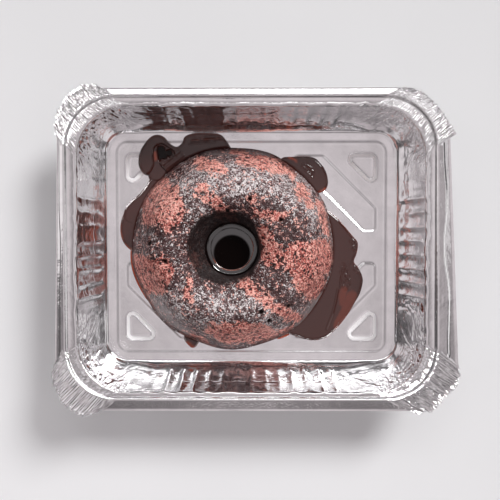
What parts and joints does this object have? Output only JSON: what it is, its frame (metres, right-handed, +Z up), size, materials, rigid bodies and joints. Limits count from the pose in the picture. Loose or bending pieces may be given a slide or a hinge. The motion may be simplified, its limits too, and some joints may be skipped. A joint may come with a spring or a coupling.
{
  "type": "chocolate ring cake in a foil tray",
  "caption": "Ring-shaped chocolate cake with dark glaze and runny chocolate sauce, standing in a rectangular tray of crimped aluminium foil.",
  "frame": {"origin": "on the ground, under the middle of the whole outline", "axes": "+Z up; +X along the tray's long side, towards its empty end; +Y across it, towards the splash of sauce at the wall"},
  "size_m": [0.3404, 0.2747, 0.0635],
  "materials": {
    "foil": "bright crumpled foil",
    "sponge": "baked chocolate crust with soaked-in dark glaze",
    "sauce": "glossy dark chocolate sauce"
  },
  "bodies": {
    "root": {"foil_tray": "foil", "cake": "sponge", "sauce_pool": "sauce", "sauce_right": "sauce", "sauce_left": "sauce", "sauce_top_right": "sauce", "sauce_back": "sauce", "sauce_drip": "sauce"}
  },
  "joints": []
}
